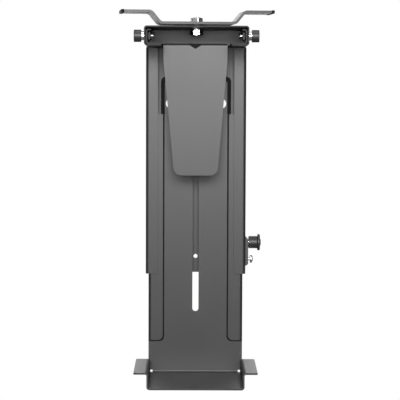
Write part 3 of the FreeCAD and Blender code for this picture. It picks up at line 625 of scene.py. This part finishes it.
def foam_pad():
    """Tapered sheet of foam. Its outline narrows by a straight line towards the foot, and
    its corners are rounded by the root of one minus the square of the share left. The free
    face is full and falls off to the sides by the root of one minus the tenth power."""
    low, high = box_mm("tongue_pad")
    foot, top = low[2], high[2]
    back, front = low[1], high[1]
    half_top, half_foot = (high[0] - low[0]) / 2, 19.6
    centre_top, centre_foot = (high[0] + low[0]) / 2, -0.3
    foot_corner, top_corner, rim_height, glue = 8.0, 3.0, 1.6, 0.3
    count_up, count_across = 60, 30
    up = np.linspace(0, 1, count_up) ** 0.9
    height = foot + (top - foot) * up
    below = np.clip((foot + foot_corner - height) / foot_corner, 0, 1)
    above = np.clip((height - top + top_corner) / top_corner, 0, 1)
    half = half_foot + (half_top - half_foot) * up
    half = half - foot_corner * (1 - np.sqrt(1 - below ** 2 * 0.999))
    half = half - top_corner * (1 - np.sqrt(1 - above ** 2 * 0.999))
    face = np.linspace(-1, 1, count_across)
    bulge = (1 - np.abs(face) ** 10) ** 0.5
    rim = np.clip(np.minimum(height - foot, top - height) / rim_height, 0, 1)
    rim = 0.25 + 0.75 * np.sqrt(1 - (1 - rim) ** 2)
    y_front = back + glue + (front - back - glue) * bulge[None, :] * rim[:, None]
    centre = centre_foot + (centre_top - centre_foot) * up
    x_front = centre[:, None] + half[:, None] * face[None, :]
    x_back = x_front[:, ::-1]
    x = np.concatenate((x_front, x_back), axis=1)
    y = np.concatenate((y_front, np.full_like(x_back, back)), axis=1)
    z = np.broadcast_to(height[:, None], x.shape)
    around = x.shape[1]
    points = np.stack((x, y, z), axis=-1).reshape(-1, 3) * MM
    ends = np.array([(centre_foot, back + 0.5, foot), (centre_top, back + 0.5, top)]) * MM
    number = len(points)
    points = np.concatenate((points, ends))
    first = np.arange(around)
    last = first + (count_up - 1) * around
    triangles = [pole_faces(first[::-1], number), pole_faces(last, number + 1)]
    made = piece("foam_pad", points, ring_faces(count_up, around, False), triangles, "clamp",
                 "foam", FOAM, ["tongue_pad"], crease=60.0)


pivot_bolt()
pivot_nut()
for side, sign in (("left", -1.0), ("right", 1.0)):
    clamp_knob(side, sign)
    clamp_screw(side, sign)
    clamp_nut(side, sign)
pull_knob()
plunger_spring()
plate_screw()
foam_pad()


# ---- studio -------------------------------------------------------------------------------

def look_along(eye, pitch, yaw, roll):
    """Camera matrix: turned right by yaw and down by pitch, then rolled about its own line
    of sight; angles in degrees."""
    pitch, yaw, roll = (math.radians(a) for a in (pitch, yaw, roll))
    forward = Vector((math.sin(yaw) * math.cos(pitch), math.cos(yaw) * math.cos(pitch),
                      -math.sin(pitch)))
    level = Vector((math.cos(yaw), -math.sin(yaw), 0))
    above = level.cross(forward)
    right = level * math.cos(roll) + above * math.sin(roll)
    up = above * math.cos(roll) - level * math.sin(roll)
    turn = Matrix((right, up, -forward)).transposed().to_4x4()
    return Matrix.Translation(eye) @ turn


def camera():
    """Long lens in front of the holder, above its middle, that looks a little down."""
    data = bpy.data.cameras.new("camera")
    data.sensor_width = 36.0
    data.lens = 145.35
    data.clip_start, data.clip_end = 0.05, 50.0
    made = bpy.data.objects.new("camera", data)
    bpy.context.scene.collection.objects.link(made)
    made.matrix_world = look_along(Vector((-0.0074, -1.8532, -0.0908)), 3.876, 0.375, 0.211)
    bpy.context.scene.camera = made


def softbox(name, place, aim, width, height, power):
    """Rectangular light that faces a point."""
    data = bpy.data.lights.new(name, "AREA")
    data.shape = "RECTANGLE"
    data.size, data.size_y = width, height
    data.energy = power
    made = bpy.data.objects.new(name, data)
    bpy.context.scene.collection.objects.link(made)
    made.location = place
    made.rotation_euler = (Vector(aim) - Vector(place)).to_track_quat("-Z", "Y").to_euler()


def pale_floor():
    """Wide plain floor, lower than the tray at the foot of its travel, because the holder
    hangs from a desk. It shows white to the eye and dim to reflections."""
    travel_room, half = 0.14, 12.0
    level = cad_box[0].z - travel_room
    mesh = bpy.data.meshes.new("floor")
    corners = [(-half, -half, level), (half, -half, level), (half, half, level),
               (-half, half, level)]
    mesh.from_pydata(corners, [], [(0, 1, 2, 3)])
    material = bpy.data.materials.new("pale_floor")
    material.use_nodes = True
    tree = material.node_tree
    shader = tree.nodes["Principled BSDF"]
    shader.inputs["Base Color"].default_value = grey(0.22)
    shader.inputs["Roughness"].default_value = 0.9
    shader.inputs["Specular IOR Level"].default_value = 0.0
    seen = add_node(tree, "ShaderNodeEmission", {"Color": grey(1.0), "Strength": 1.0})
    eye = add_node(tree, "ShaderNodeLightPath").outputs["Is Camera Ray"]
    choose = add_node(tree, "ShaderNodeMixShader", {0: eye})
    tree.links.new(shader.outputs[0], choose.inputs[1])
    tree.links.new(seen.outputs[0], choose.inputs[2])
    tree.links.new(choose.outputs[0], tree.nodes["Material Output"].inputs["Surface"])
    mesh.materials.append(material)
    made = bpy.data.objects.new("floor", mesh)
    bpy.context.scene.collection.objects.link(made)


def surroundings():
    """White to the eye, faint grey to everything else, so side faces stay dark."""
    world = bpy.data.worlds.new("studio")
    bpy.context.scene.world = world
    world.use_nodes = True
    tree = world.node_tree
    tree.nodes.clear()
    eye = add_node(tree, "ShaderNodeLightPath").outputs["Is Camera Ray"]
    faint = add_node(tree, "ShaderNodeBackground", {"Color": grey(1.0), "Strength": 0.06})
    white = add_node(tree, "ShaderNodeBackground", {"Color": grey(1.0), "Strength": 1.0})
    choose = add_node(tree, "ShaderNodeMixShader", {0: eye})
    tree.links.new(faint.outputs[0], choose.inputs[1])
    tree.links.new(white.outputs[0], choose.inputs[2])
    result = add_node(tree, "ShaderNodeOutputWorld")
    tree.links.new(choose.outputs[0], result.inputs["Surface"])


def backdrop(name, near, far, foot, head, glow):
    """Upright glowing card behind the holder, from near to far along X, which level faces
    beside the middle mirror at a low angle. The camera doesn't see it."""
    y = 1.2
    mesh = bpy.data.meshes.new(name)
    corners = [(near, y, foot), (far, y, foot), (far, y, head), (near, y, head)]
    mesh.from_pydata(corners, [], [(0, 1, 2, 3)])
    material = bpy.data.materials.new(name)
    material.use_nodes = True
    shader = material.node_tree.nodes["Principled BSDF"]
    shader.inputs["Base Color"].default_value = grey(0.0)
    shader.inputs["Emission Color"].default_value = grey(1.0)
    shader.inputs["Emission Strength"].default_value = glow
    mesh.materials.append(material)
    made = bpy.data.objects.new(name, mesh)
    bpy.context.scene.collection.objects.link(made)
    made.visible_camera = False


camera()
pale_floor()
for side, sign in (("left", -1.0), ("right", 1.0)):
    backdrop(f"upper_card_{side}", sign * 0.09, sign * 0.6, -0.13, 0.9, 3.2)
    backdrop(f"lower_card_{side}", sign * 0.08, sign * 0.6, -0.41, -0.13, 0.9)
surroundings()
softbox("front_light", (0.0, -2.5, 0.55), (0, 0, -0.12), 1.3, 0.6, 70.0)
softbox("low_fill", (0.0, -2.4, -0.02), (0, 0, -0.12), 0.9, 0.3, 13.0)
softbox("top_light", (0.0, -0.3, 1.6), (0, 0, -0.2), 1.2, 1.2, 14.0)
bpy.context.scene.view_settings.view_transform = "Standard"
